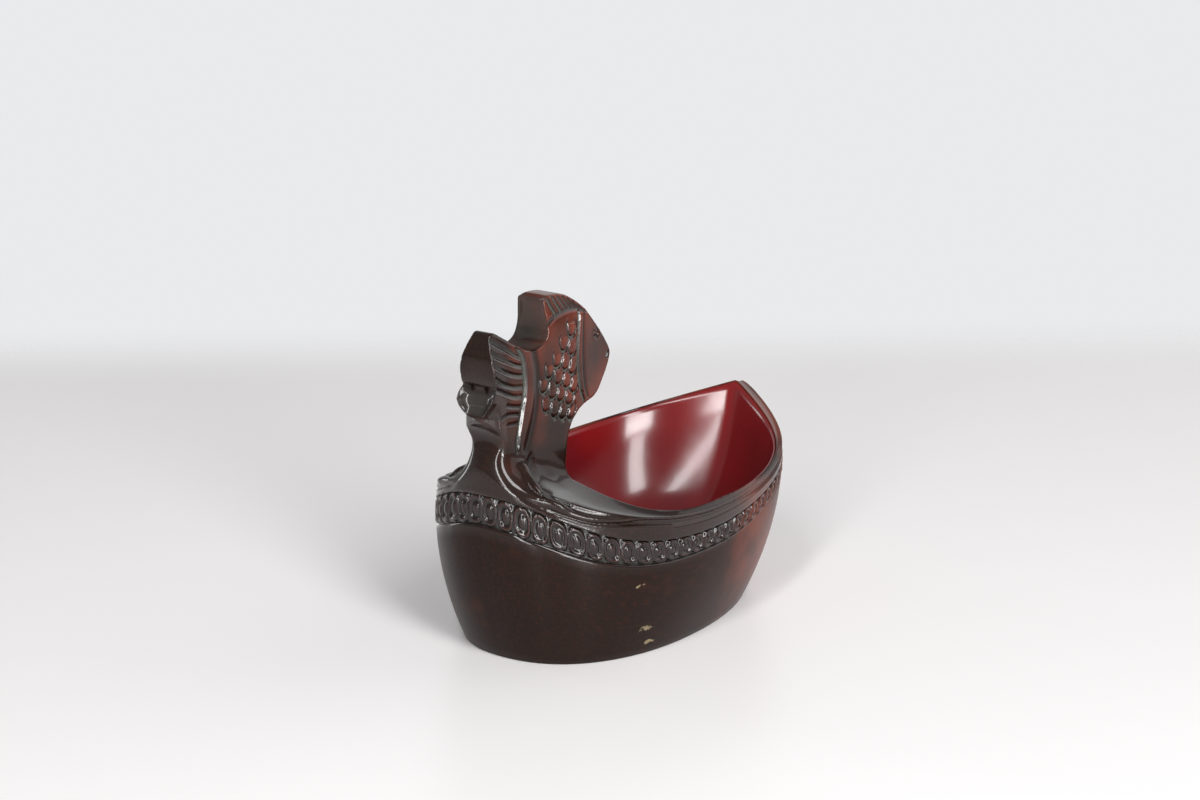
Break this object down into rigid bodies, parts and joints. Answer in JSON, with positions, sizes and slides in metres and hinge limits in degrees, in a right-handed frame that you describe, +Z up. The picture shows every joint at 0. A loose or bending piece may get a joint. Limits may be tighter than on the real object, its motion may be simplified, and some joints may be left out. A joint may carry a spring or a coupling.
{
  "type": "dish",
  "caption": "Carved dark wooden oval dish with a red lacquered hollow and an upright fish for its handle, tail up and head over the bowl.",
  "frame": {"origin": "On the table, under the middle of the dish's box", "axes": "+X runs along the dish from the fish to the pointed prow, +Y across it, and +Z up"},
  "size_m": [0.1676, 0.1, 0.1253],
  "materials": {
    "dark_wood": "polished dark brown wood, waxed, with red-brown worn edges",
    "fish_wood": "polished dark brown wood with grey wax left in the grooves",
    "red_lacquer": "deep crimson lacquer, very glossy"
  },
  "bodies": {
    "root": {"bowl_hull": "dark_wood", "fish_handle": "fish_wood", "lacquer_lining": "red_lacquer"}
  },
  "joints": []
}
